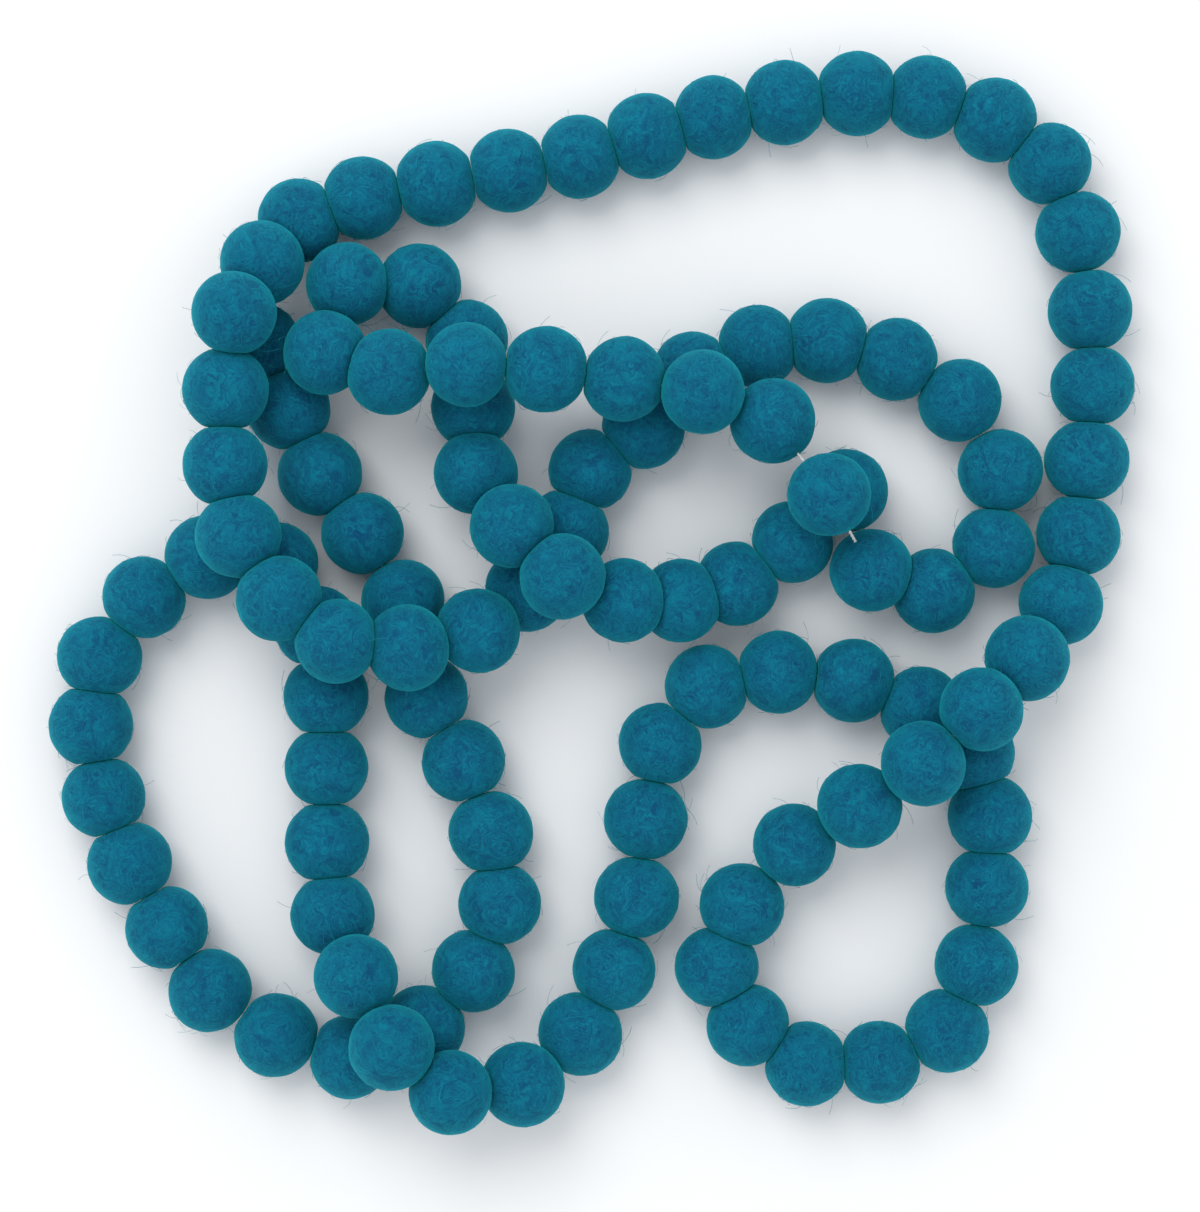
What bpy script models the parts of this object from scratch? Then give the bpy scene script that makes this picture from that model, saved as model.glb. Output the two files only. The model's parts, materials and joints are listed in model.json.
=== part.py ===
"""Felt ball garland: wool felt balls threaded tightly on one string, lying in loose loops on a flat surface.

Units are metres, +Z is up, the surface is z = 0, and the origin is under the middle of the loops.
"""

import math

import bmesh
import bpy
from mathutils import Matrix, Vector

MM = 0.001
GAP = 0.3 * MM  # clearance between two pieces that touch

BALL_DIAMETER = 25 * MM
BALL_SPREAD = 0.3 * MM  # the balls are rolled by hand, so their diameters differ by this much either way
BALL_SPREAD_TURN = 2.4  # radians from one ball's size to the next, so that no pattern shows
BALL_SEGMENTS = 8
BALL_RINGS = 6
FLAT_SPOT_DEPTH = 0.5 * MM  # how much of a ball's underside its weight presses flat
REST_HEIGHT = BALL_DIAMETER / 2 - FLAT_SPOT_DEPTH  # centre of a ball that lies on the surface
BALLS_PER_PIECE = 2
WAIST = 0.6 * MM  # length of the crease between the balls of one piece

STRING_DIAMETER = 1.0 * MM
STRING_BEVEL_RESOLUTION = 2
NEEDLE_HOLE_RADIUS = STRING_DIAMETER / 2 + GAP
KNOT_DIAMETER = 3.2 * MM
KNOT_LENGTH = 3.6 * MM
KNOT_DROP = math.radians(40)  # the string leaves each end ball this far below the level

FELT_COLOUR = (0.004, 0.135, 0.235, 1)
FELT_ROUGHNESS = 0.95
STRING_COLOUR = (0.80, 0.80, 0.78, 1)
STRING_ROUGHNESS = 0.8

# The route of the string, chosen by hand: the centre of each of these balls, in millimetres, with how far
# it is lifted where it lies on other balls. The balls between two rows follow a smooth curve through them.
ROUTE_COLUMNS = ("ball", "x", "y", "lift")
ROUTE = (
    (1, 77, 31, 0),
    (3, 44, 3, 0),
    (5, 10, -2, 12),
    (6, -8, 5, 24),
    (7, -23, 20, 20),
    (8, -34, 36, 6),
    (10, -37, 76, 0),
    (11, -51, 92, 3),
    (12, -72, 92, 9),
    (13, -78, 71, 17),
    (14, -59, 65, 21),
    (15, -36, 67, 25),
    (17, 10, 63, 21),
    (18, 33, 59, 25),
    (19, 54, 51, 17),
    (20, 70, 29, 25),
    (21, 84, 7, 5),
    (22, 103, 1, 0),
    (23, 121, 14, 0),
    (24, 123, 37, 0),
    (25, 111, 58, 0),
    (27, 71, 76, 0),
    (29, 31, 66, 0),
    (30, 16, 50, 0),
    (31, 0, 37, 0),
    (32, -7, 19, 0),
    (33, -19, 1, 0),
    (34, -33, -11, 13),
    (36, -74, -14, 26),
    (38, -103, 17, 23),
    (40, -107, 60, 20),
    (41, -104, 82, 25),
    (42, -97, 98, 12),
    (43, -87, 112, 0),
    (45, -46, 123, 0),
    (47, -3, 131, 0),
    (49, 37, 143, 0),
    (52, 101, 149, 0),
    (54, 138, 129, 0),
    (56, 150, 85, 0),
    (58, 149, 40, 0),
    (60, 141, -3, 2),
    (62, 115, -34, 22),
    (63, 98, -50, 21),
    (64, 80, -63, 12),
    (65, 61, -75, 4),
    (67, 38, -112, 0),
    (69, 65, -141, 0),
    (71, 107, -131, 0),
    (73, 119, -88, 0),
    (75, 115, -48, 0),
    (77, 79, -26, 0),
    (79, 35, -28, 0),
    (80, 21, -45, 0),
    (82, 14, -91, 0),
    (84, -3, -132, 0),
    (85, -20, -146, 8),
    (86, -41, -147, 18),
    (87, -58, -133, 24),
    (88, -69, -113, 16),
    (89, -77, -96, 2),
    (91, -79, -52, 0),
    (93, -82, -10, 0),
    (94, -94, 9, 0),
    (95, -115, 11, 0),
    (97, -147, -19, 0),
    (99, -146, -61, 0),
    (101, -127, -100, 0),
    (102, -114, -119, 0),
    (104, -72, -139, 0),
    (105, -50, -130, 0),
    (107, -27, -93, 0),
    (109, -38, -50, 0),
    (110, -49, -31, 0),
    (111, -56, -2, 0),
    (113, -81, 36, 0),
    (115, -99, 75, 0),
)


def route_point(row):
    """The centre that one row of the route gives."""
    _, x, y, lift = row
    return Vector((x * MM, y * MM, REST_HEIGHT + lift * MM))


def route_slope(index):
    """How the centre moves with the ball number at one row: the mean of the slopes beside it."""
    slopes = [
        (route_point(after) - route_point(before)) / (after[0] - before[0])
        for before, after in zip(ROUTE[max(index - 1, 0) : index + 1], ROUTE[max(index, 1) : index + 2])
    ]
    return sum(slopes, Vector()) / len(slopes)


def routed_centres():
    """One centre for each ball, in the order in which they are threaded."""
    centres = []
    for index, (start, end) in enumerate(zip(ROUTE, ROUTE[1:])):
        count = end[0] - start[0]
        p0, p1 = route_point(start), route_point(end)
        m0, m1 = route_slope(index) * count, route_slope(index + 1) * count
        for step in range(count):
            t = step / count
            centre = (
                (2 * t**3 - 3 * t**2 + 1) * p0
                + (t**3 - 2 * t**2 + t) * m0
                + (3 * t**2 - 2 * t**3) * p1
                + (t**3 - t**2) * m1
            )
            centre.z = max(centre.z, REST_HEIGHT)
            centres.append(centre)
    return [*centres, route_point(ROUTE[-1])]


def ball_radius(number):
    return (BALL_DIAMETER + BALL_SPREAD * math.sin(BALL_SPREAD_TURN * number)) / 2


def middle(spans):
    """Half-way between the lowest and the highest end of some (place, radius) spans."""
    spans = list(spans)
    return (min(place - radius for place, radius in spans) + max(place + radius for place, radius in spans)) / 2


def ball_centres():
    """The routed centres, moved so that the origin is under the middle of the whole garland."""
    centres = routed_centres()
    radii = [ball_radius(number) for number in range(1, len(centres) + 1)]
    shift = Vector(
        (
            middle((centre.x, radius) for centre, radius in zip(centres, radii)),
            middle((centre.y, radius) for centre, radius in zip(centres, radii)),
            0,
        )
    )
    return [centre - shift for centre in centres]


def bare_string_between(centres, index):
    """Whether a ball and the next one stand too far apart to touch."""
    apart = (centres[index + 1] - centres[index]).length
    return apart > 0.97 * (ball_radius(index + 1) + ball_radius(index + 2))


def piece_numbers(centres):
    """The ball numbers of each piece: neighbours in twos, or one alone beside bare string."""
    pieces = [[1]]
    for number in range(2, len(centres) + 1):
        if len(pieces[-1]) == BALLS_PER_PIECE or bare_string_between(centres, number - 2):
            pieces.append([])
        pieces[-1].append(number)
    return pieces


def end_drop(end, neighbour):
    """The direction in which the string leaves an end ball: away from its neighbour and down."""
    away = (end - neighbour).to_2d().normalized()
    return Vector((away.x * math.cos(KNOT_DROP), away.y * math.cos(KNOT_DROP), -math.sin(KNOT_DROP)))


def string_points(centres):
    """(point, thickness) along the string: through every ball, with a plain knot past each end ball."""
    knots = []
    for number, end, neighbour in ((1, centres[0], centres[1]), (len(centres), centres[-1], centres[-2])):
        start = end + end_drop(end, neighbour) * (ball_radius(number) + GAP)
        step = end_drop(end, neighbour) * KNOT_LENGTH
        knots.append(
            [
                (start, 1),
                (start + 0.25 * step, KNOT_DIAMETER / STRING_DIAMETER),
                (start + 0.75 * step, KNOT_DIAMETER / STRING_DIAMETER),
                (start + step, 1),
            ]
        )
    return [*reversed(knots[0]), *((centre, 1) for centre in centres), *knots[1]]


def collection(name):
    made = bpy.data.collections.new(name)
    bpy.context.scene.collection.children.link(made)
    return made


def material(name, colour, roughness):
    made = bpy.data.materials.new(name)
    made.use_nodes = True
    shader = made.node_tree.nodes["Principled BSDF"]
    shader.inputs["Base Color"].default_value = colour
    shader.inputs["Roughness"].default_value = roughness
    shader.inputs["Metallic"].default_value = 0
    return made


def mesh_object(name, bm, owner):
    mesh = bpy.data.meshes.new(name)
    bm.to_mesh(mesh)
    bm.free()
    made = bpy.data.objects.new(name, mesh)
    owner.objects.link(made)
    return made


def tube_object(name, points, radius, bevel_resolution, owner):
    """A tube of straight runs through (point, thickness) pairs, with closed ends."""
    curve = bpy.data.curves.new(name, "CURVE")
    curve.dimensions = "3D"
    curve.bevel_depth = radius
    curve.bevel_resolution = bevel_resolution
    curve.use_fill_caps = True
    spline = curve.splines.new("POLY")
    spline.points.add(len(points) - 1)
    for place, (point, thickness) in zip(spline.points, points):
        place.co = (*point, 1)
        place.radius = thickness
    made = bpy.data.objects.new(name, curve)
    owner.objects.link(made)
    return made


def ball_shape(centre, radius, along):
    """A ball whose poles are on the string and whose lowest point is straight below its centre."""
    bm = bmesh.new()
    bmesh.ops.create_uvsphere(bm, u_segments=BALL_SEGMENTS, v_segments=BALL_RINGS, radius=radius)
    across = Vector((0, 0, 1)).cross(along).normalized()
    down = across.cross(along)
    turn = Matrix((down, along.cross(down), along)).transposed().to_4x4()
    bmesh.ops.transform(bm, matrix=Matrix.Translation(centre) @ turn, verts=bm.verts)
    return bm


def cut_flat_spot(bm):
    """Cuts off what would lie below the surface and closes the cut."""
    cut = bmesh.ops.bisect_plane(
        bm,
        geom=[*bm.verts, *bm.edges, *bm.faces],
        dist=1e-6,
        plane_co=(0, 0, 0),
        plane_no=(0, 0, -1),
        clear_outer=True,
    )
    rim = [edge for edge in cut["geom_cut"] if isinstance(edge, bmesh.types.BMEdge)]
    if rim:
        bmesh.ops.contextual_create(bm, geom=rim)


def press(bm, point, outward):
    """Moves whatever bulges past a plane back onto it, as a neighbour's side does."""
    for vert in bm.verts:
        past = (vert.co - point).dot(outward)
        if past > 0:
            vert.co -= past * outward


def open_pole(bm, outward, centre):
    """Removes the pole that faces a neighbour in the same piece, so that the two can be bridged."""
    pole = max(bm.verts, key=lambda vert: (vert.co - centre).dot(outward))
    bmesh.ops.delete(bm, geom=[pole], context="VERTS")


def add_ball(bm, centres, numbers, number):
    """Adds one ball, flattened by the surface and by the neighbours that it is pulled against."""
    centre, radius = centres[number - 1], ball_radius(number)
    before, after = centres[max(number - 2, 0)], centres[min(number, len(centres) - 1)]
    ball = ball_shape(centre, radius, (after - before).normalized())
    if centre.z < radius:
        cut_flat_spot(ball)
    for other in (number - 1, number + 1):
        if not 1 <= other <= len(centres):
            continue
        apart = centres[other - 1] - centre
        outward = apart.normalized()
        if other in numbers:
            open_pole(ball, outward, centre)
        reach = (apart.length + radius - ball_radius(other)) / 2 - (WAIST if other in numbers else GAP) / 2
        press(ball, centre + reach * outward, outward)
    mesh = bpy.data.meshes.new("ball")
    ball.to_mesh(mesh)
    ball.free()
    bm.from_mesh(mesh)
    bpy.data.meshes.remove(mesh)


def needle_cutter(centres, numbers, owner):
    """The hole that the needle and string leave through a piece, from well outside one side to the other."""
    first, last = numbers[0], numbers[-1]
    path = string_points(centres)
    lead = len(path) - len(centres)
    points = [path[lead // 2 + number - 1] for number in range(first, last + 1)]
    ends = []
    for number, step in ((first, -1), (last, 1)):
        centre = centres[number - 1]
        if 1 <= number + step <= len(centres):
            onward = (centres[number + step - 1] - centre).normalized()
        else:
            onward = end_drop(centre, centres[number - step - 1])
        ends.append((centre + onward * BALL_DIAMETER, 1))
    name = f"needle_{first:03d}"
    curve = tube_object(name, [ends[0], *points, ends[1]], NEEDLE_HOLE_RADIUS, 0, owner)
    bpy.context.view_layer.update()
    mesh = bpy.data.meshes.new_from_object(curve.evaluated_get(bpy.context.evaluated_depsgraph_get()))
    bpy.data.objects.remove(curve)
    bm = bmesh.new()
    bm.from_mesh(mesh)
    bmesh.ops.remove_doubles(bm, verts=bm.verts, dist=1e-6)
    bmesh.ops.recalc_face_normals(bm, faces=bm.faces)
    cutter = mesh_object(name, bm, owner)
    cutter.hide_render = True
    cutter.display_type = "WIRE"
    return cutter


def make_balls(centres, owner, cutters, felt):
    for numbers in piece_numbers(centres):
        bm = bmesh.new()
        for number in numbers:
            add_ball(bm, centres, numbers, number)
        waist = [edge for edge in bm.edges if edge.is_boundary]
        if waist:
            bmesh.ops.bridge_loops(bm, edges=waist)
        bmesh.ops.recalc_face_normals(bm, faces=bm.faces)
        piece = mesh_object("balls_" + "_".join(f"{number:03d}" for number in numbers), bm, owner)
        hole = piece.modifiers.new("needle_hole", "BOOLEAN")
        hole.operation = "DIFFERENCE"
        hole.object = needle_cutter(centres, numbers, cutters)
        piece.data.shade_smooth()
        piece.data.materials.append(felt)


def make_string(centres, owner, cotton):
    string = tube_object(
        "string", string_points(centres), STRING_DIAMETER / 2, STRING_BEVEL_RESOLUTION, owner
    )
    string.data.materials.append(cotton)


def main():
    for leftover in list(bpy.data.objects):
        bpy.data.objects.remove(leftover)
    garland = collection("felt_ball_garland")
    cutters = collection("cutters")
    centres = ball_centres()
    make_balls(centres, garland, cutters, material("felt", FELT_COLOUR, FELT_ROUGHNESS))
    make_string(centres, garland, material("string", STRING_COLOUR, STRING_ROUGHNESS))


main()
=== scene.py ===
"""Felt ball garland: the looks of the wool balls, their stray fibres, the twisted string and its knots.

Lengths are metres unless a name says millimetres. +Z is up and the surface is z = 0.
"""

import json
import math

import bmesh
import bpy
import numpy as np
from bpy.props import FloatProperty, FloatVectorProperty, IntProperty, PointerProperty
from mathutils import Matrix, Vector

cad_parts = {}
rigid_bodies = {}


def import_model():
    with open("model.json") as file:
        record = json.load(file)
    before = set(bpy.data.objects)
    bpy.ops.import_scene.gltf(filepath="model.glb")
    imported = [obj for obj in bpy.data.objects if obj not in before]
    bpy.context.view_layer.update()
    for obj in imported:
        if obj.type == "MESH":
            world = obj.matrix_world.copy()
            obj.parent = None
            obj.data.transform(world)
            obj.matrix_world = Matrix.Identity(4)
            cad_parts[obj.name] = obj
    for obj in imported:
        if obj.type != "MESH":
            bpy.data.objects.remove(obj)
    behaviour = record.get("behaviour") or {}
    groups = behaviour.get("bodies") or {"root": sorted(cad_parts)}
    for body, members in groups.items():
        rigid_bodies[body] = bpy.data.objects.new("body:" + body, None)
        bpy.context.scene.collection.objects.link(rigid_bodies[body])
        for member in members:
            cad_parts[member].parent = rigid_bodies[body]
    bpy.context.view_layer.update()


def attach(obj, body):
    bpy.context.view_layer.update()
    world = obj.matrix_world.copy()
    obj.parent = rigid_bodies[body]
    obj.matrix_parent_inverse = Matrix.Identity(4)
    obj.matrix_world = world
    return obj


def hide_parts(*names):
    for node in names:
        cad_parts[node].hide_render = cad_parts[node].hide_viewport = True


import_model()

bl_info = {
    "name": "Felt Ball Garland",
    "version": (1, 0, 0),
    "blender": (4, 5, 0),
    "location": "3D View > Sidebar > Garland",
    "description": "Makes a garland of wool felt balls threaded on a twisted string, lying in loose loops",
    "category": "Object",
}

BODY = "root"
MM = 0.001

# The make of the garland, the same as its solids.
BALL_DIAMETER = 25 * MM
BALL_SPREAD = 0.3 * MM
BALL_SPREAD_TURN = 2.4
FLAT_SPOT_DEPTH = 0.5 * MM
REST_HEIGHT = BALL_DIAMETER / 2 - FLAT_SPOT_DEPTH
BALLS_PER_PIECE = 2
BARE_STRING_SHARE = 0.97
GAP = 0.3 * MM
STRING_DIAMETER = 1.0 * MM
KNOT_DROP = math.radians(40)
KNOT_LENGTH = 3.6 * MM

# How the balls press on each other and on the surface.
FIRST_BALL_SEED = 500
CROSSING_REACH = 0.9 * MM  # balls of two crossing runs press on each other when they are this near
PRESS_CLEARANCE = 0.06 * MM  # left between two pressed sides
CROSSING_SOFTNESS = 0.1 * MM
FLOOR_SOFTNESS = 0.12 * MM
PRESSED_FADE = 1.2 * MM  # how far beside a pressed side the loose wool comes back
FLOOR_FADE = 1.0 * MM
DENT_TURN = 2.1  # turns which of two neighbours is dented from one crease to the next
DENT_REACH = 0.45  # radius of a dent, as a share of the ball's

# How finely the string is drawn.
HIDDEN_STEP = 2.6 * MM
SHOWN_STEP = 0.25 * MM
SHOWN_REACH = 2.2 * MM  # how far into a ball the string keeps its fine steps
STRING_SIDES = 10
KNOT_TURNS, KNOT_SIDES, KNOT_SIZE = 72, 8, 0.42 * MM

# The route of the string, as listed. Each row is (ball, x, y, lift): a ball's number, its centre in
# millimetres, and how far it is lifted where it lies on other balls. The balls between two rows follow a
# smooth curve through them.
ROUTE = (
    (1, 77, 31, 0),
    (3, 44, 3, 0),
    (5, 10, -2, 12),
    (6, -8, 5, 24),
    (7, -23, 20, 20),
    (8, -34, 36, 6),
    (10, -37, 76, 0),
    (11, -51, 92, 3),
    (12, -72, 92, 9),
    (13, -78, 71, 17),
    (14, -59, 65, 21),
    (15, -36, 67, 25),
    (17, 10, 63, 21),
    (18, 33, 59, 25),
    (19, 54, 51, 17),
    (20, 70, 29, 25),
    (21, 84, 7, 5),
    (22, 103, 1, 0),
    (23, 121, 14, 0),
    (24, 123, 37, 0),
    (25, 111, 58, 0),
    (27, 71, 76, 0),
    (29, 31, 66, 0),
    (30, 16, 50, 0),
    (31, 0, 37, 0),
    (32, -7, 19, 0),
    (33, -19, 1, 0),
    (34, -33, -11, 13),
    (36, -74, -14, 26),
    (38, -103, 17, 23),
    (40, -107, 60, 20),
    (41, -104, 82, 25),
    (42, -97, 98, 12),
    (43, -87, 112, 0),
    (45, -46, 123, 0),
    (47, -3, 131, 0),
    (49, 37, 143, 0),
    (52, 101, 149, 0),
    (54, 138, 129, 0),
    (56, 150, 85, 0),
    (58, 149, 40, 0),
    (60, 141, -3, 2),
    (62, 115, -34, 22),
    (63, 98, -50, 21),
    (64, 80, -63, 12),
    (65, 61, -75, 4),
    (67, 38, -112, 0),
    (69, 65, -141, 0),
    (71, 107, -131, 0),
    (73, 119, -88, 0),
    (75, 115, -48, 0),
    (77, 79, -26, 0),
    (79, 35, -28, 0),
    (80, 21, -45, 0),
    (82, 14, -91, 0),
    (84, -3, -132, 0),
    (85, -20, -146, 8),
    (86, -41, -147, 18),
    (87, -58, -133, 24),
    (88, -69, -113, 16),
    (89, -77, -96, 2),
    (91, -79, -52, 0),
    (93, -82, -10, 0),
    (94, -94, 9, 0),
    (95, -115, 11, 0),
    (97, -147, -19, 0),
    (99, -146, -61, 0),
    (101, -127, -100, 0),
    (102, -114, -119, 0),
    (104, -72, -139, 0),
    (105, -50, -130, 0),
    (107, -27, -93, 0),
    (109, -38, -50, 0),
    (110, -49, -31, 0),
    (111, -56, -2, 0),
    (113, -81, 36, 0),
    (115, -99, 75, 0),
)


# ---------------------------------------------------------------- where the balls lie


def route_point(row):
    """The centre that one row of the route gives."""
    _, x, y, lift = row
    return Vector((x * MM, y * MM, REST_HEIGHT + lift * MM))


def route_slope(index):
    """How the centre moves with the ball number at one row: the mean of the slopes beside it."""
    slopes = [
        (route_point(after) - route_point(before)) / (after[0] - before[0])
        for before, after in zip(ROUTE[max(index - 1, 0) : index + 1], ROUTE[max(index, 1) : index + 2])
    ]
    return sum(slopes, Vector()) / len(slopes)


def routed_centres():
    """One centre for each ball, in the order in which they are threaded."""
    centres = []
    for index, (start, end) in enumerate(zip(ROUTE, ROUTE[1:])):
        count = end[0] - start[0]
        p0, p1 = route_point(start), route_point(end)
        m0, m1 = route_slope(index) * count, route_slope(index + 1) * count
        for step in range(count):
            t = step / count
            centre = (
                (2 * t**3 - 3 * t**2 + 1) * p0
                + (t**3 - 2 * t**2 + t) * m0
                + (3 * t**2 - 2 * t**3) * p1
                + (t**3 - t**2) * m1
            )
            centre.z = max(centre.z, REST_HEIGHT)
            centres.append(centre)
    return [*centres, route_point(ROUTE[-1])]


def ball_radius(number):
    return (BALL_DIAMETER + BALL_SPREAD * math.sin(BALL_SPREAD_TURN * number)) / 2


def middle(spans):
    """Half-way between the lowest and the highest end of some (place, radius) spans."""
    spans = list(spans)
    return (min(place - radius for place, radius in spans) + max(place + radius for place, radius in spans)) / 2


def ball_centres():
    """The routed centres, moved so that the origin is under the middle of the whole garland."""
    centres = routed_centres()
    radii = [ball_radius(number) for number in range(1, len(centres) + 1)]
    shift = Vector(
        (
            middle((centre.x, radius) for centre, radius in zip(centres, radii)),
            middle((centre.y, radius) for centre, radius in zip(centres, radii)),
            0,
        )
    )
    return [centre - shift for centre in centres]


CENTRES = ball_centres()
RADII = [ball_radius(number) for number in range(1, len(CENTRES) + 1)]


def touching(first, second, slack):
    """Whether two balls, by their place in CENTRES, come within this much of each other."""
    return (CENTRES[first] - CENTRES[second]).length < RADII[first] + RADII[second] + slack


def node_of_ball():
    """The solid that each ball belongs to, by the ball's place in CENTRES."""
    runs = [[0]]
    for place in range(1, len(CENTRES)):
        apart = (CENTRES[place] - CENTRES[place - 1]).length
        bare = apart > BARE_STRING_SHARE * (RADII[place] + RADII[place - 1])
        if len(runs[-1]) == BALLS_PER_PIECE or bare:
            runs.append([])
        runs[-1].append(place)
    return {
        place: "balls_" + "_".join(f"{member + 1:03d}" for member in run) for run in runs for place in run
    }


# ---------------------------------------------------------------- sizes and colours that a user would change


def length_property(name, description, default, low=0.0, high=1.0):
    return FloatProperty(
        name=name, description=description, default=default, min=low, max=high, subtype="DISTANCE", unit="LENGTH"
    )


def share_property(name, description, default, low=0.0, high=1.0):
    return FloatProperty(name=name, description=description, default=default, min=low, max=high, subtype="FACTOR")


def colour_property(name, description, default):
    return FloatVectorProperty(
        name=name, description=description, default=default, size=4, min=0.0, max=1.0, subtype="COLOR"
    )


class FeltBallSettings(bpy.types.PropertyGroup):
    """Shape and colour of the felt balls"""

    detail: IntProperty(name="Detail", description="Times the ball's mesh is divided", default=5, min=2, max=6)
    lump: length_property("Lumps", "Depth of the broad dents left by rolling", 0.42 * MM)
    wrinkle: length_property("Wrinkles", "Depth of the small felting wrinkles", 0.07 * MM)
    bulge: share_property("Bulge", "How much a squeezed ball widens across the string", 0.02)
    crease: length_property("Crease", "Radius of the pillowed rim where two balls meet", 1.1 * MM)
    dent: share_property("Dent", "How far the side of one ball follows the roundness of the next", 0.35)
    # Deep is two things: the darker random patches of the wool, and a painted shade in the low spots of the fibre
    # relief.
    dark_patches_and_painted_shade: colour_property("Deep", "Colour of the wool in the hollows", (0.0015, 0.058, 0.145, 1))
    body: colour_property("Body", "Main colour of the wool", (0.001, 0.105, 0.205, 1))
    # Bright is a painted highlight on the raised parts of the fibre relief.
    bright: colour_property("Bright", "Colour of the fibres that stand proud", (0.002, 0.215, 0.300, 1))
    mottle: length_property("Mottling", "Size of the lighter and darker patches", 6.0 * MM)
    fibre: length_property("Fibre", "Width of the fibre swirls", 0.40 * MM)
    bump: length_property("Fibre relief", "How far the swirls stand out", 0.30 * MM)
    sheen: share_property("Sheen", "Strength of the soft glow at the rims", 0.55)


class StrayFibreSettings(bpy.types.PropertyGroup):
    """The loose wool that stands off the balls"""

    short_density: FloatProperty(
        name="Short fibres", description="Short fibres on each square centimetre", default=5.0, min=0, max=40
    )
    long_density: FloatProperty(
        name="Long fibres", description="Long fibres on each square centimetre", default=0.9, min=0, max=10
    )
    thickness: length_property("Thickness", "Diameter of a fibre", 0.10 * MM)
    short_length: length_property("Short length", "Length of a short fibre", 2.4 * MM)
    long_length: length_property("Long length", "Length of a long fibre", 6.5 * MM)
    colour: colour_property("Colour", "Colour of the loose wool", (0.004, 0.240, 0.310, 1))
    seed: IntProperty(name="Seed", description="Which lay of the fibres", default=7, min=0)


class StringSettings(bpy.types.PropertyGroup):
    """The twisted string and its knots"""

    diameter: length_property("Diameter", "Thickness of the string", STRING_DIAMETER, 0.3 * MM, 3 * MM)
    lay_length: length_property("Twist", "Length of one turn of the two strands", 2.6 * MM, 0.5 * MM, 10 * MM)
    colour: colour_property("Colour", "Colour of the string", (0.86, 0.86, 0.84, 1))


class StageSettings(bpy.types.PropertyGroup):
    """Floor, lights and camera"""

    floor: colour_property("Floor", "Colour of the floor", (0.94, 0.945, 0.95, 1))
    height: length_property("Camera height", "Height of the camera over the balls", 1.0, 0.3, 5.0)
    frame_width: length_property("Frame", "Length of the picture's longer side at the balls", 363.6 * MM)
    soft_light: FloatProperty(name="Soft light", description="Strength of the even light", default=0.85, min=0)
    key_light: FloatProperty(
        name="Key light", description="Power of the large overhead light", default=14.0, min=0, subtype="POWER"
    )


# ---------------------------------------------------------------- helpers


def finished(piece):
    """Puts a finished piece on the body."""
    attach(piece, BODY)
    return piece


def mesh_piece(name, vertices, faces, material):
    mesh = bpy.data.meshes.new(name)
    mesh.from_pydata(vertices, [], faces)
    mesh.materials.append(material)
    mesh.shade_smooth()
    made = bpy.data.objects.new(name, mesh)
    bpy.context.scene.collection.objects.link(made)
    return made


class Nodes:
    """A short way to add and join the nodes of one material or group."""

    def __init__(self, tree):
        self.tree = tree

    def add(self, kind, inputs=None, **settings):
        node = self.tree.nodes.new(kind)
        for key, value in settings.items():
            setattr(node, key, value)
        for key, value in (inputs or {}).items():
            self.set(node.inputs[key], value)
        return node

    def set(self, socket, value):
        if isinstance(value, bpy.types.NodeSocket):
            self.tree.links.new(value, socket)
        else:
            socket.default_value = value

    def math(self, operation, *values, clamp=False):
        node = self.add("ShaderNodeMath", operation=operation, use_clamp=clamp)
        for socket, value in zip(node.inputs, values):
            self.set(socket, value)
        return node.outputs[0]

    def vector(self, operation, *values):
        node = self.add("ShaderNodeVectorMath", operation=operation)
        for socket, value in zip(node.inputs, values):
            self.set(socket, value)
        return node.outputs["Value" if operation in ("LENGTH", "DISTANCE", "DOT_PRODUCT") else "Vector"]

    def scaled(self, vector, factor):
        node = self.add("ShaderNodeVectorMath", operation="SCALE")
        self.set(node.inputs[0], vector)
        self.set(node.inputs["Scale"], factor)
        return node.outputs["Vector"]

    def noise(self, vector, scale, detail=2.0, roughness=0.5, distortion=0.0):
        return self.add(
            "ShaderNodeTexNoise",
            {"Vector": vector, "Scale": scale, "Detail": detail, "Roughness": roughness, "Distortion": distortion},
        )

    def ramp(self, value, low, high):
        node = self.add("ShaderNodeMapRange", {"Value": value, "From Min": low, "From Max": high})
        return node.outputs["Result"]

    def mix(self, factor, first, second):
        node = self.add("ShaderNodeMix", data_type="RGBA")
        self.set(node.inputs["Factor"], factor)
        self.set(node.inputs["A"], first)
        self.set(node.inputs["B"], second)
        return node.outputs["Result"]


def new_material(name, roughness):
    """A material with its Principled shader and a way to add nodes to it."""
    material = bpy.data.materials.new(name)
    material.use_nodes = True
    shader = material.node_tree.nodes["Principled BSDF"]
    shader.inputs["Roughness"].default_value = roughness
    shader.inputs["Specular IOR Level"].default_value = 0.15
    return material, shader, Nodes(material.node_tree)


# ---------------------------------------------------------------- finishes

WHORL = "felt_place"  # a point's place on its own ball, turned and moved so that no two balls match
OPEN = "felt_open"  # 1 where a ball's surface is free, 0 where it is pressed


def fibre_swirls(nodes, place, cells, width, stretch):
    """Fine lines that run in rings round scattered centres, as felted fibres do."""
    centres = nodes.add(
        "ShaderNodeTexVoronoi", {"Vector": place, "Scale": cells, "Randomness": 1.0}, feature="F1"
    )
    ring = nodes.math("MULTIPLY", centres.outputs["Distance"], 1 / (cells * width))
    along = nodes.scaled(place, 1 / stretch)
    across = nodes.add("ShaderNodeCombineXYZ")
    nodes.set(across.inputs["X"], ring)
    lines = nodes.noise(nodes.vector("ADD", along, across.outputs[0]), 1.0, 2.0, 0.6)
    return lines.outputs["Fac"]


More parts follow.
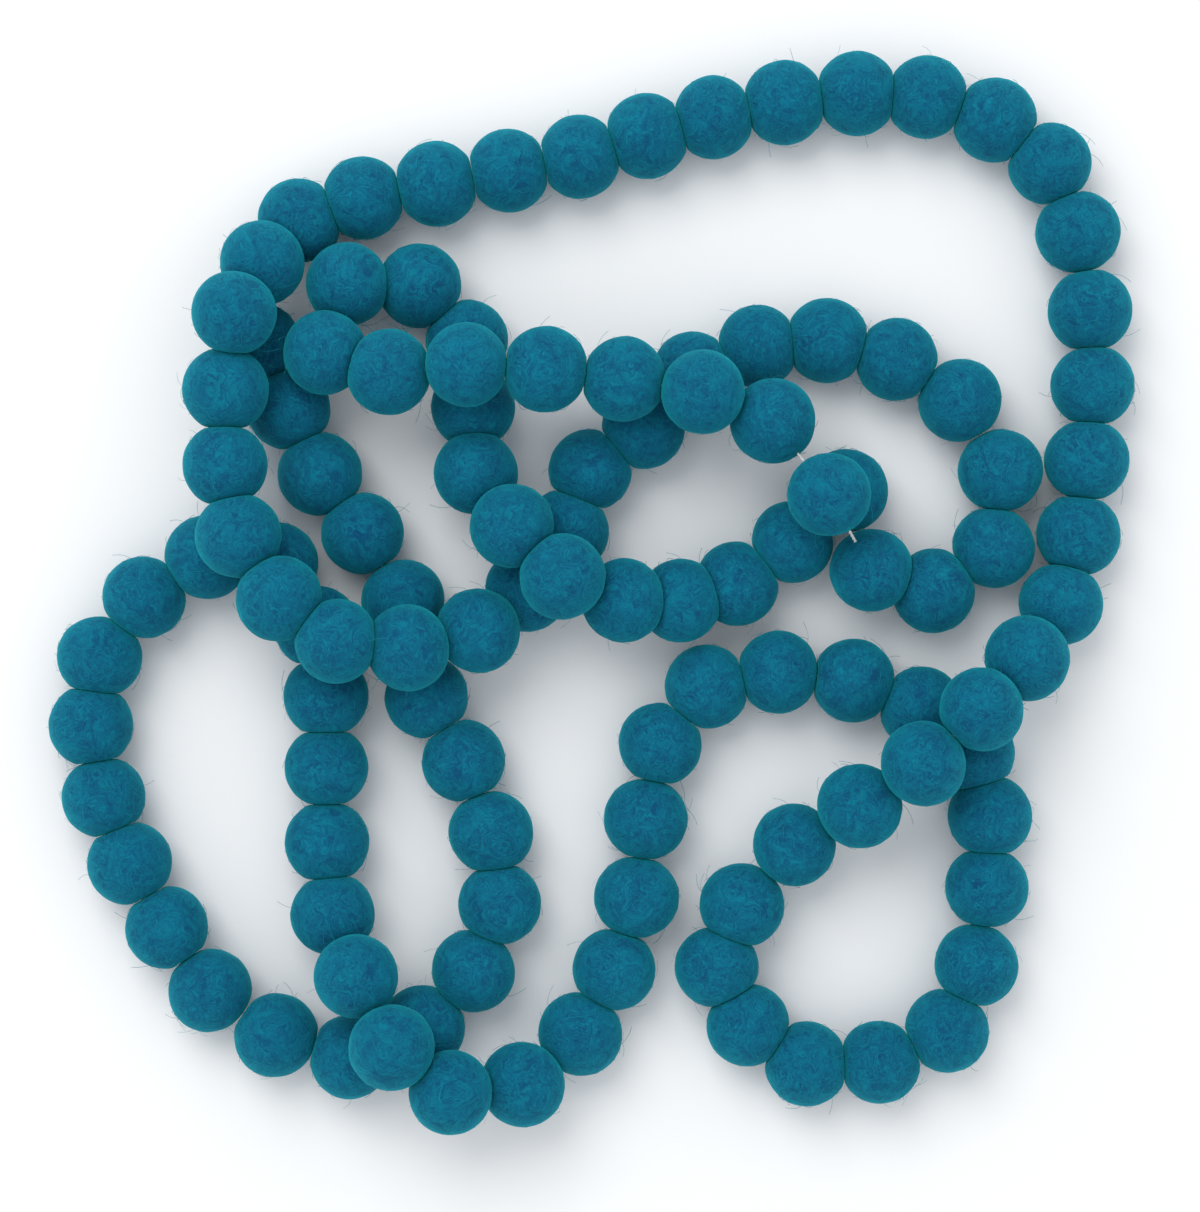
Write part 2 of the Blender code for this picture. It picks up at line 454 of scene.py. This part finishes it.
def felt_finish(settings):
    """Wool felt: mottled blue-green, with swirls of fine fibres, painted shade in the low spots of their relief
    and a painted highlight on their raised parts.
    """
    material, shader, nodes = new_material("wool_felt", 0.92)
    radius = BALL_DIAMETER / 2
    place = nodes.add("ShaderNodeAttribute", attribute_name=WHORL).outputs["Vector"]
    wander = nodes.noise(place, 1.6, 3.0, 0.55)
    drift = nodes.vector("SUBTRACT", wander.outputs["Color"], (0.5, 0.5, 0.5))
    bent = nodes.vector("ADD", place, nodes.scaled(drift, 0.9))
    width = settings.fibre / radius
    broad = fibre_swirls(nodes, bent, 1.35, width, 0.30)
    fine = fibre_swirls(nodes, nodes.vector("ADD", bent, (3.7, 1.9, 5.3)), 2.1, width * 0.7, 0.22)
    specks = nodes.noise(bent, 1 / (0.55 * width), 3.0, 0.65).outputs["Fac"]
    patches = nodes.noise(place, radius / settings.mottle, 3.0, 0.6, 0.4).outputs["Fac"]
    fibres = nodes.math(
        "ADD",
        nodes.math("MULTIPLY", broad, 0.42),
        nodes.math("ADD", nodes.math("MULTIPLY", fine, 0.30), nodes.math("MULTIPLY", specks, 0.28)),
    )
    # Painted highlight: the bright colour is laid where the fibre relief is high, blending in up to three quarters
    # of it.
    light = nodes.ramp(fibres, 0.44, 0.60)
    tone = nodes.ramp(patches, 0.34, 0.68)
    wool = nodes.mix(tone, tuple(settings.dark_patches_and_painted_shade), tuple(settings.body))
    highlighted_wool = nodes.mix(nodes.math("MULTIPLY", light, 0.75), wool, tuple(settings.bright))
    # Painted shade: the deep colour is laid where the fibre relief is low, blending in up to three quarters of it.
    pit_shade = nodes.math("MULTIPLY", nodes.ramp(fibres, 0.47, 0.36), 0.75)
    nodes.set(shader.inputs["Base Color"], nodes.mix(pit_shade, highlighted_wool, tuple(settings.dark_patches_and_painted_shade)))
    bump = nodes.add("ShaderNodeBump", {"Height": fibres, "Strength": 0.8, "Distance": settings.bump})
    nodes.set(shader.inputs["Normal"], bump.outputs["Normal"])
    shader.inputs["Sheen Weight"].default_value = settings.sheen
    shader.inputs["Sheen Roughness"].default_value = 0.45
    shader.inputs["Sheen Tint"].default_value = (0.02, 0.75, 0.78, 1)
    return material


def fibre_finish(settings):
    """Single wool fibres, a little lighter than the ball and a little lighter in places."""
    material, shader, nodes = new_material("stray_wool", 0.8)
    place = nodes.add("ShaderNodeTexCoord").outputs["Object"]
    tone = nodes.noise(place, 1 / (3 * MM), 2.0).outputs["Fac"]
    colour = tuple(settings.colour)
    darker = (colour[0] * 0.6, colour[1] * 0.6, colour[2] * 0.75, 1)
    nodes.set(shader.inputs["Base Color"], nodes.mix(nodes.ramp(tone, 0.35, 0.65), darker, colour))
    shader.inputs["Sheen Weight"].default_value = 0.4
    shader.inputs["Sheen Tint"].default_value = (0.1, 0.8, 0.85, 1)
    return material


def string_finish(settings):
    """Off-white twisted thread with fine strands in its lay."""
    material, shader, nodes = new_material("twisted_string", 0.75)
    place = nodes.add("ShaderNodeTexCoord").outputs["Object"]
    strands = nodes.noise(place, 1 / (0.18 * MM), 3.0, 0.6).outputs["Fac"]
    colour = tuple(settings.colour)
    shade = (colour[0] * 0.78, colour[1] * 0.79, colour[2] * 0.80, 1)
    nodes.set(shader.inputs["Base Color"], nodes.mix(nodes.ramp(strands, 0.35, 0.6), shade, colour))
    bump = nodes.add("ShaderNodeBump", {"Height": strands, "Strength": 0.6, "Distance": 0.08 * MM})
    nodes.set(shader.inputs["Normal"], bump.outputs["Normal"])
    shader.inputs["Sheen Weight"].default_value = 0.3
    return material


def floor_finish(colour):
    material, shader, nodes = new_material("pale_floor", 0.9)
    place = nodes.add("ShaderNodeTexCoord").outputs["Object"]
    grain = nodes.noise(place, 900.0, 2.0).outputs["Fac"]
    pale = tuple(colour)
    paler = tuple(min(1.0, channel * 1.01) for channel in pale[:3]) + (1,)
    nodes.set(shader.inputs["Base Color"], nodes.mix(grain, pale, paler))
    return material


# ---------------------------------------------------------------- felt balls


def sphere_shape(detail):
    """(points, faces) of a finely divided ball of radius 1."""
    bm = bmesh.new()
    bmesh.ops.create_icosphere(bm, subdivisions=detail, radius=1.0)
    points = np.array([vert.co for vert in bm.verts])
    faces = [[vert.index for vert in face.verts] for face in bm.faces]
    bm.free()
    return points, faces


def ripples(points, draw, lowest, highest, count):
    """A smooth uneven height from -1 to 1 over the ball: waves of many directions and lengths added up."""
    total = np.zeros(len(points))
    for _ in range(count):
        direction = draw.normal(size=3)
        direction /= np.linalg.norm(direction)
        pitch = draw.uniform(lowest, highest)
        total += np.sin(points @ direction * pitch + draw.uniform(0, 2 * math.pi))
    return total / math.sqrt(count) / 1.6


def turned(draw):
    """A random turn, as a 3 by 3 array."""
    turn, _ = np.linalg.qr(draw.normal(size=(3, 3)))
    return turn


def soft_limit(height, limit, softness):
    """Height, eased so that it never passes the limit."""
    return limit - softness * np.logaddexp(0, (limit - height) / softness)


def contacts(place):
    """(other ball's place, whether the string joins them) for each ball that presses on this one."""
    found = []
    for other in range(len(CENTRES)):
        joined = abs(other - place) == 1
        if other != place and touching(place, other, 0.0 if joined else CROSSING_REACH):
            found.append((other, joined))
    return found


def press_sides(points, place, settings):
    """Presses a ball's points against every neighbour, and says how near each point is to a pressed side."""
    centre = np.array(CENTRES[place])
    nearness = np.zeros(len(points))
    for other, joined in contacts(place):
        apart = np.array(CENTRES[other]) - centre
        distance = np.linalg.norm(apart)
        outward = apart / distance
        reach = (distance + RADII[place] - RADII[other]) / 2 - PRESS_CLEARANCE
        height = (points - centre) @ outward
        sideways = np.linalg.norm(points - centre - np.outer(height, outward), axis=1)
        limit = np.full(len(points), reach)
        if joined:
            lead = math.sin(DENT_TURN * (min(place, other) + 1)) * (1 if other > place else -1)
            hollow = (DENT_REACH * RADII[place]) ** 2 - sideways**2
            limit = reach + lead * settings.dent * hollow / RADII[place] / 2
        softness = settings.crease / 4 if joined else CROSSING_SOFTNESS
        pressed = soft_limit(height, limit, softness)
        points = points + np.outer(pressed - height, outward)
        nearness = np.maximum(nearness, np.clip(1 - (limit - pressed) / PRESSED_FADE, 0, 1))
    return points, nearness


def press_floor(points):
    """Presses a ball's underside flat on the surface."""
    height = -points[:, 2]
    pressed = soft_limit(height, 0.0, FLOOR_SOFTNESS)
    points[:, 2] = -pressed
    return points, np.clip(1 + pressed / FLOOR_FADE, 0, 1)


def string_direction(place):
    before, after = CENTRES[max(place - 1, 0)], CENTRES[min(place + 1, len(CENTRES) - 1)]
    return np.array((after - before).normalized())


def felt_ball(place, sphere, settings, material):
    """One hand-rolled ball, dented and creased where its neighbours and the surface press it."""
    draw = np.random.default_rng(FIRST_BALL_SEED + place)
    unit, faces = sphere
    turn = turned(draw)
    lumps = ripples(unit, draw, 1.5, 4.5, 14)
    wrinkles = ripples(unit, draw, 9.0, 20.0, 30)
    size = RADII[place] - settings.lump * np.clip(0.35 + 0.5 * lumps, 0, 1.4) + settings.wrinkle * wrinkles
    local = unit * size[:, None]
    along = string_direction(place)
    height = local @ along
    squeezed = sum(joined for _, joined in contacts(place))
    local = local + settings.bulge * squeezed / 2 * (local - np.outer(height, along))
    points, pressed = press_sides(local + np.array(CENTRES[place]), place, settings)
    points, grounded = press_floor(points)
    name = f"felt_ball_{place + 1:03d}"
    piece = mesh_piece(name, points.tolist(), faces, material)
    whorl = piece.data.attributes.new(WHORL, "FLOAT_VECTOR", "POINT")
    shifted = (points - np.array(CENTRES[place])) / RADII[place] @ turn.T + draw.uniform(-40, 40, size=3)
    whorl.data.foreach_set("vector", shifted.astype(np.float32).ravel())
    free = piece.data.attributes.new(OPEN, "FLOAT", "POINT")
    free.data.foreach_set("value", (1 - np.maximum(pressed, grounded)).astype(np.float32))
    return finished(piece)


class GARLAND_OT_felt_balls(bpy.types.Operator):
    """Makes every felt ball, pressed where it meets its neighbours"""

    bl_idname = "garland.felt_balls"
    bl_label = "Felt balls"

    def execute(self, context):
        settings = context.scene.garland_balls
        material = felt_finish(settings)
        sphere = sphere_shape(settings.detail)
        nodes = node_of_ball()
        for place in range(len(CENTRES)):
            piece = felt_ball(place, sphere, settings, material)
            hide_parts(nodes[place])
        return {"FINISHED"}


# ---------------------------------------------------------------- stray fibres

FIBRE_RUNS = 6  # pieces that the loose wool is shared out into


def fibre_tree(settings, material):
    """Scatters curved fibres over a surface: many short ones that lie close and a few long ones that stand off."""
    tree = bpy.data.node_groups.new("stray_fibres", "GeometryNodeTree")
    tree.interface.new_socket("Geometry", in_out="INPUT", socket_type="NodeSocketGeometry")
    for name, kind, value in (
        ("Short density", "NodeSocketFloat", settings.short_density),
        ("Long density", "NodeSocketFloat", settings.long_density),
        ("Short length", "NodeSocketFloat", settings.short_length),
        ("Long length", "NodeSocketFloat", settings.long_length),
        ("Thickness", "NodeSocketFloat", settings.thickness),
        ("Seed", "NodeSocketInt", settings.seed),
    ):
        socket = tree.interface.new_socket(name, in_out="INPUT", socket_type=kind)
        socket.default_value = value
    tree.interface.new_socket("Geometry", in_out="OUTPUT", socket_type="NodeSocketGeometry")
    nodes = Nodes(tree)
    given = nodes.add("NodeGroupInput").outputs
    free = nodes.add("GeometryNodeInputNamedAttribute", {"Name": OPEN}, data_type="FLOAT").outputs[0]
    profile = nodes.add("GeometryNodeCurvePrimitiveCircle", {"Resolution": 3}, mode="RADIUS")
    nodes.set(profile.inputs["Radius"], nodes.math("MULTIPLY", given["Thickness"], 0.5))
    joined = nodes.add("GeometryNodeJoinGeometry")
    kinds = (
        ("Short density", "Short length", 4, (0.45, 0.0, 0.16), (0.95, 0.12, 0.02), 0.30, 0),
        ("Long density", "Long length", 8, (0.30, 0.10, 0.22), (0.80, 0.45, 0.10), 0.45, 11),
    )
    for density, length, resolution, crest, tip, tilt, offset in kinds:
        arc = nodes.add("GeometryNodeCurveQuadraticBezier", {"Resolution": resolution})
        arc.inputs["Start"].default_value = (0, 0, -0.01)
        arc.inputs["Middle"].default_value = crest
        arc.inputs["End"].default_value = tip
        full = nodes.add("GeometryNodeTransform")
        nodes.set(full.inputs["Geometry"], arc.outputs[0])
        stretch = nodes.add("ShaderNodeCombineXYZ")
        for axis in ("X", "Y", "Z"):
            nodes.set(stretch.inputs[axis], given[length])
        nodes.set(full.inputs["Scale"], stretch.outputs[0])
        strand = nodes.add("GeometryNodeCurveToMesh")
        nodes.set(strand.inputs["Curve"], full.outputs[0])
        nodes.set(strand.inputs["Profile Curve"], profile.outputs[0])
        scatter = nodes.add("GeometryNodeDistributePointsOnFaces", distribute_method="RANDOM")
        nodes.set(scatter.inputs["Mesh"], given["Geometry"])
        per_metre = nodes.math("MULTIPLY", given[density], 10000.0)
        nodes.set(scatter.inputs["Density"], nodes.math("MULTIPLY", per_metre, free))
        nodes.set(scatter.inputs["Seed"], nodes.math("ADD", given["Seed"], float(offset)))
        spin = nodes.add("FunctionNodeRandomValue", data_type="FLOAT_VECTOR")
        spin.inputs["Min"].default_value = (-tilt, -tilt, 0)
        spin.inputs["Max"].default_value = (tilt, tilt, 2 * math.pi)
        nodes.set(spin.inputs["Seed"], nodes.math("ADD", given["Seed"], float(offset + 1)))
        turn = nodes.add("FunctionNodeRotateRotation", rotation_space="LOCAL")
        nodes.set(turn.inputs["Rotation"], scatter.outputs["Rotation"])
        nodes.set(turn.inputs["Rotate By"], spin.outputs["Value"])
        size = nodes.add("FunctionNodeRandomValue", data_type="FLOAT")
        size.inputs[2].default_value = 0.45
        size.inputs[3].default_value = 1.25
        nodes.set(size.inputs["Seed"], nodes.math("ADD", given["Seed"], float(offset + 2)))
        place = nodes.add("GeometryNodeInstanceOnPoints")
        nodes.set(place.inputs["Points"], scatter.outputs["Points"])
        nodes.set(place.inputs["Instance"], strand.outputs[0])
        nodes.set(place.inputs["Rotation"], turn.outputs[0])
        nodes.set(place.inputs["Scale"], size.outputs[1])
        nodes.set(joined.inputs[0], place.outputs[0])
    real = nodes.add("GeometryNodeRealizeInstances")
    nodes.set(real.inputs[0], joined.outputs[0])
    painted = nodes.add("GeometryNodeSetMaterial", {"Material": material})
    nodes.set(painted.inputs["Geometry"], real.outputs[0])
    out = nodes.add("NodeGroupOutput")
    nodes.set(out.inputs[0], painted.outputs[0])
    return tree


def joined_surface(name, sources):
    """One mesh object with the surfaces of several balls and how free each point is."""
    bm = bmesh.new()
    for source in sources:
        bm.from_mesh(source.data)
    mesh = bpy.data.meshes.new(name)
    bm.to_mesh(mesh)
    bm.free()
    made = bpy.data.objects.new(name, mesh)
    bpy.context.scene.collection.objects.link(made)
    return made


def baked(carrier, name):
    """The plain mesh that an object's modifiers make, as a new object. The carrier is removed."""
    mesh = bpy.data.meshes.new_from_object(carrier.evaluated_get(bpy.context.evaluated_depsgraph_get()))
    source = carrier.data
    bpy.data.objects.remove(carrier)
    bpy.data.meshes.remove(source)
    mesh.name = name
    made = bpy.data.objects.new(name, mesh)
    bpy.context.scene.collection.objects.link(made)
    return made


class GARLAND_OT_stray_fibres(bpy.types.Operator):
    """Scatters loose wool over the balls"""

    bl_idname = "garland.stray_fibres"
    bl_label = "Stray fibres"

    def execute(self, context):
        settings = context.scene.garland_fibres
        tree = fibre_tree(settings, fibre_finish(settings))
        run = math.ceil(len(CENTRES) / FIBRE_RUNS)
        seed_socket = next(item.identifier for item in tree.interface.items_tree if item.name == "Seed")
        for index in range(FIBRE_RUNS):
            places = range(index * run, min((index + 1) * run, len(CENTRES)))
            balls = [bpy.data.objects[f"felt_ball_{place + 1:03d}"] for place in places]
            carrier = joined_surface("fibre_carrier", balls)
            scatter = carrier.modifiers.new("stray_fibres", "NODES")
            scatter.node_group = tree
            scatter[seed_socket] = settings.seed + 100 * index
            context.view_layer.update()
            piece = baked(carrier, f"stray_fibres_{index + 1}")
            for name in (WHORL, OPEN):
                if name in piece.data.attributes:
                    piece.data.attributes.remove(piece.data.attributes[name])
            piece.data.shade_smooth()
            finished(piece)
        bpy.data.node_groups.remove(tree)
        return {"FINISHED"}


# ---------------------------------------------------------------- string and knots


def end_drop(end, neighbour):
    """The direction in which the string leaves an end ball: away from its neighbour and down."""
    away = (end - neighbour).to_2d().normalized()
    return Vector((away.x * math.cos(KNOT_DROP), away.y * math.cos(KNOT_DROP), -math.sin(KNOT_DROP)))


def knot_places():
    """(where the string meets the knot, direction out of the ball) at each end of the string."""
    found = []
    for place, neighbour in ((0, 1), (len(CENTRES) - 1, len(CENTRES) - 2)):
        out = end_drop(CENTRES[place], CENTRES[neighbour])
        found.append((CENTRES[place] + out * (RADII[place] + GAP), out))
    return found


def string_path():
    """Points along the string from knot to knot, closer together where it shows between two balls."""
    (first, _), (last, _) = knot_places()
    stops = [first, *CENTRES, last]
    path = [stops[0]]
    for index, (start, end) in enumerate(zip(stops, stops[1:])):
        length = (end - start).length
        at_ends = index in (0, len(stops) - 2)
        if at_ends:
            bare = length / 2
        else:
            bare = max(length - RADII[index - 1] - RADII[index], 0) / 2 + SHOWN_REACH
        travelled = 0.0
        while travelled < length:
            shown = at_ends or abs(travelled - length / 2) < bare
            travelled = min(travelled + (SHOWN_STEP if shown else HIDDEN_STEP), length)
            path.append(start.lerp(end, travelled / length))
    return path


def twisted_tube(name, path, diameter, lay_length, material):
    """Two strands laid round each other: a two-lobed section that turns as it follows the path."""
    sides, lobe = STRING_SIDES, diameter / 4
    angles = np.linspace(0, 2 * math.pi, sides, endpoint=False)
    widths = lobe * np.sign(np.cos(angles)) * 0.9 + lobe * np.cos(angles)
    section = np.stack([widths, lobe * np.sin(angles) * 1.15], 1)
    upward = Vector((0, 0, 1))
    vertices, faces, travelled = [], [], 0.0
    for index, point in enumerate(path):
        if index:
            travelled += (point - path[index - 1]).length
        ahead = (path[min(index + 1, len(path) - 1)] - path[max(index - 1, 0)]).normalized()
        side = upward.cross(ahead).normalized()
        over = ahead.cross(side)
        turn = 2 * math.pi * travelled / lay_length
        for across, above in section:
            x = across * math.cos(turn) - above * math.sin(turn)
            y = across * math.sin(turn) + above * math.cos(turn)
            vertices.append(point + side * x + over * y)
        if index:
            row, last = index * sides, (index - 1) * sides
            for corner in range(sides):
                following = (corner + 1) % sides
                faces.append((last + corner, last + following, row + following, row + corner))
    faces.append(tuple(reversed(range(sides))))
    faces.append(tuple(range(len(vertices) - sides, len(vertices))))
    return mesh_piece(name, vertices, faces, material)


def knot_piece(name, place, out, diameter, material):
    """An overhand knot pulled small: a trefoil of the same string, pushed against the ball."""
    side = Vector((0, 0, 1)).cross(out).normalized()
    over = out.cross(side)
    middle_point = place + out * KNOT_LENGTH / 2
    turns, sides, size = KNOT_TURNS, KNOT_SIDES, KNOT_SIZE
    rings = []
    for step in range(turns):
        angle = 2 * math.pi * step / turns
        rings.append(
            middle_point
            + side * (math.sin(angle) + 2 * math.sin(2 * angle)) * size * 0.9
            + over * (math.cos(angle) - 2 * math.cos(2 * angle)) * size * 0.9
            + out * -math.sin(3 * angle) * size * 1.3
        )
    vertices, faces = [], []
    for step, point in enumerate(rings):
        ahead = (rings[(step + 1) % turns] - rings[step - 1]).normalized()
        across = out.cross(ahead).normalized()
        above = ahead.cross(across)
        for corner in range(sides):
            angle = 2 * math.pi * corner / sides
            vertices.append(point + (across * math.cos(angle) + above * math.sin(angle)) * diameter * 0.46)
        row, following = step * sides, (step + 1) % turns * sides
        for corner in range(sides):
            beside = (corner + 1) % sides
            faces.append((row + corner, row + beside, following + beside, following + corner))
    return finished(mesh_piece(name, vertices, faces, material))


class GARLAND_OT_string(bpy.types.Operator):
    """Lays the twisted string through the balls and ties its two knots"""

    bl_idname = "garland.string"
    bl_label = "String and knots"

    def execute(self, context):
        settings = context.scene.garland_string
        material = string_finish(settings)
        knots = [
            knot_piece(name, place, out, settings.diameter, material)
            for name, (place, out) in zip(("knot_first", "knot_last"), knot_places())
        ]
        path = string_path()
        string = twisted_tube("garland_string", path, settings.diameter, settings.lay_length, material)
        finished(string)
        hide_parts("string")
        return {"FINISHED"}


# ---------------------------------------------------------------- stage


def look_down(holder, place, target):
    holder.location = place
    holder.rotation_euler = (Vector(target) - Vector(place)).to_track_quat("-Z", "Y").to_euler()


def area_light(name, place, target, power, size, colour):
    data = bpy.data.lights.new(name, "AREA")
    data.energy, data.size, data.color = power, size, colour
    light = bpy.data.objects.new(name, data)
    bpy.context.scene.collection.objects.link(light)
    look_down(light, place, target)
    return light


class GARLAND_OT_stage(bpy.types.Operator):
    """Sets the pale floor, the soft studio light and the camera"""

    bl_idname = "garland.stage"
    bl_label = "Stage"

    def execute(self, context):
        settings = context.scene.garland_stage
        scene = context.scene
        bpy.ops.mesh.primitive_plane_add(size=6.0, location=(0, 0, 0))
        floor = context.object
        floor.name = "floor"
        floor.data.materials.append(floor_finish(settings.floor))
        area_light("key_light", (-0.5, 0.9, 1.5), (0, 0, 0), settings.key_light, 1.2, (1.0, 0.995, 0.985))
        world = bpy.data.worlds.new("soft_room")
        world.use_nodes = True
        world.node_tree.nodes["Background"].inputs["Color"].default_value = (0.97, 0.985, 1.0, 1)
        world.node_tree.nodes["Background"].inputs["Strength"].default_value = settings.soft_light
        scene.world = world
        camera = bpy.data.cameras.new("camera")
        camera.angle = 2 * math.atan(settings.frame_width / 2 / settings.height)
        holder = bpy.data.objects.new("camera", camera)
        scene.collection.objects.link(holder)
        holder.location = (2.6 * MM, -5.3 * MM, REST_HEIGHT + settings.height)
        scene.camera = holder
        scene.view_settings.view_transform = "Standard"
        scene.view_settings.look = "None"
        return {"FINISHED"}


# ---------------------------------------------------------------- add-on


class GARLAND_PT_panel(bpy.types.Panel):
    """Lists the garland's settings and the steps that make it"""

    bl_label = "Felt ball garland"
    bl_idname = "GARLAND_PT_panel"
    bl_space_type = "VIEW_3D"
    bl_region_type = "UI"
    bl_category = "Garland"

    def draw(self, context):
        for group, operator in (
            ("garland_stage", "garland.stage"),
            ("garland_string", "garland.string"),
            ("garland_balls", "garland.felt_balls"),
            ("garland_fibres", "garland.stray_fibres"),
        ):
            settings = getattr(context.scene, group)
            box = self.layout.box()
            for name in type(settings).__annotations__:
                box.prop(settings, name)
            box.operator(operator)


GROUPS = {
    "garland_balls": FeltBallSettings,
    "garland_fibres": StrayFibreSettings,
    "garland_string": StringSettings,
    "garland_stage": StageSettings,
}
CLASSES = (
    *GROUPS.values(),
    GARLAND_OT_stage,
    GARLAND_OT_string,
    GARLAND_OT_felt_balls,
    GARLAND_OT_stray_fibres,
    GARLAND_PT_panel,
)


def register():
    for item in CLASSES:
        bpy.utils.register_class(item)
    for name, group in GROUPS.items():
        setattr(bpy.types.Scene, name, PointerProperty(type=group))


def unregister():
    for name in GROUPS:
        delattr(bpy.types.Scene, name)
    for item in reversed(CLASSES):
        bpy.utils.unregister_class(item)


def main():
    register()
    bpy.ops.garland.stage()
    bpy.ops.garland.string()
    bpy.ops.garland.felt_balls()
    bpy.ops.garland.stray_fibres()


if __name__ == "__main__":
    main()
